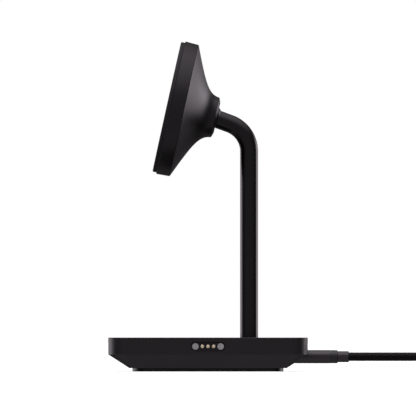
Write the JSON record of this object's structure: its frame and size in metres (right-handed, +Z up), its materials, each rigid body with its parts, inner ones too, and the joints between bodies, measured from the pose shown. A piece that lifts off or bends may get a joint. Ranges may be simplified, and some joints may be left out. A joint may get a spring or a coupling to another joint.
{
  "type": "wireless charging stand",
  "caption": "Upright wireless charging stand: round bell-backed charging head on a ball joint, bent tube stem, weighted square base with a side contact port and a braided cable.",
  "frame": {"origin": "centre of the foot pad's underside, which is also the middle of the base in plan", "axes": "+Z up, -Y towards the face that the phone lies on, +Y towards the supply cable, +X towards the contact port"},
  "size_m": [0.1049, 0.2039, 0.1462],
  "materials": {
    "satin_black_plastic": "satin black moulded plastic",
    "black_rubber": "matte black non-slip rubber",
    "plain_steel": "plain zinc-plated steel",
    "green_board": "circuit board with solder mask",
    "dark_component": "moulded electronic parts",
    "lead_sheath": "soft insulated lead",
    "black_painted_tube": "satin black powder coat",
    "dark_steel": "blackened polished steel",
    "white_acetal": "plain low-friction plastic",
    "black_anodised": "satin black anodised",
    "face_silicone": "smooth matte silicone",
    "copper_winding": "enamelled copper wire",
    "ferrite": "sintered ferrite",
    "nickel": "nickel plate",
    "port_plastic": "smooth black moulding",
    "gold_plate": "gold-plated brass",
    "gland_plastic": "soft satin moulding",
    "braided_sheath": "black braided sheath",
    "tie_strap": "hook-and-loop strap"
  },
  "bodies": {
    "stand": {"base_cover": "satin_black_plastic", "base_pan": "satin_black_plastic", "foot_pad": "black_rubber", "base_weight": "plain_steel", "base_screws": "plain_steel", "main_board": "green_board", "board_parts": "dark_component", "board_screws": "plain_steel", "supply_lead": "lead_sheath", "stem_flange": "plain_steel", "flange_screws": "plain_steel", "stem_tube": "black_painted_tube", "stem_lead": "lead_sheath", "ball_stud": "dark_steel", "port_housing": "port_plastic", "port_magnets": "nickel", "contact_barrels": "gold_plate", "cable_gland": "gland_plastic", "cable_run": "braided_sheath", "cable_coil": "braided_sheath", "cable_tail": "braided_sheath", "cable_tie": "tie_strap", "usb_plug_grip": "gland_plastic", "usb_plug_shell": "nickel", "contact_spring_1": "plain_steel", "contact_spring_2": "plain_steel", "contact_spring_3": "plain_steel"},
    "ball_front_cup": {"ball_front_cup": "white_acetal"},
    "ball_rear_cup": {"ball_rear_cup": "white_acetal"},
    "head": {"neck_ring": "black_anodised", "head_bell": "black_anodised", "face_plate": "satin_black_plastic", "face_pad": "face_silicone", "charging_coil": "copper_winding", "ferrite_shield": "ferrite", "alignment_magnets": "nickel", "magnet_backplate": "plain_steel", "head_board": "green_board", "head_board_parts": "dark_component", "head_lead": "lead_sheath"},
    "contact_pin_1": {"contact_pin_1": "gold_plate"},
    "contact_pin_2": {"contact_pin_2": "gold_plate"},
    "contact_pin_3": {"contact_pin_3": "gold_plate"}
  },
  "joints": [
    {"name": "head_tilt", "type": "hinge", "parent": "stand", "child": "ball_front_cup", "pos_m": [0, 0.00044, 0.11312], "axis": [-1, 0, 0], "range_deg": [-7, 22]},
    {"name": "head_turn", "type": "hinge", "parent": "ball_front_cup", "child": "ball_rear_cup", "pos_m": [0, 0.00044, 0.11312], "axis": [0, 0.2164, 0.9763], "range_deg": [-14, 14]},
    {"name": "head_spin", "type": "hinge", "parent": "ball_rear_cup", "child": "head", "pos_m": [0, 0.00044, 0.11312], "axis": [0, -0.9763, 0.2164], "range_deg": [-180, 180]},
    {"name": "contact_press_1", "type": "slide", "parent": "stand", "child": "contact_pin_1", "axis": [1, 0, 0], "range_m": [-0.0006, 0], "stiffness_N_per_m": 400, "springref_m": 0.0008, "deforming": ["contact_spring_1"]},
    {"name": "contact_press_2", "type": "slide", "parent": "stand", "child": "contact_pin_2", "axis": [1, 0, 0], "range_m": [-0.0006, 0], "stiffness_N_per_m": 400, "springref_m": 0.0008, "deforming": ["contact_spring_2"]},
    {"name": "contact_press_3", "type": "slide", "parent": "stand", "child": "contact_pin_3", "axis": [1, 0, 0], "range_m": [-0.0006, 0], "stiffness_N_per_m": 400, "springref_m": 0.0008, "deforming": ["contact_spring_3"]}
  ]
}
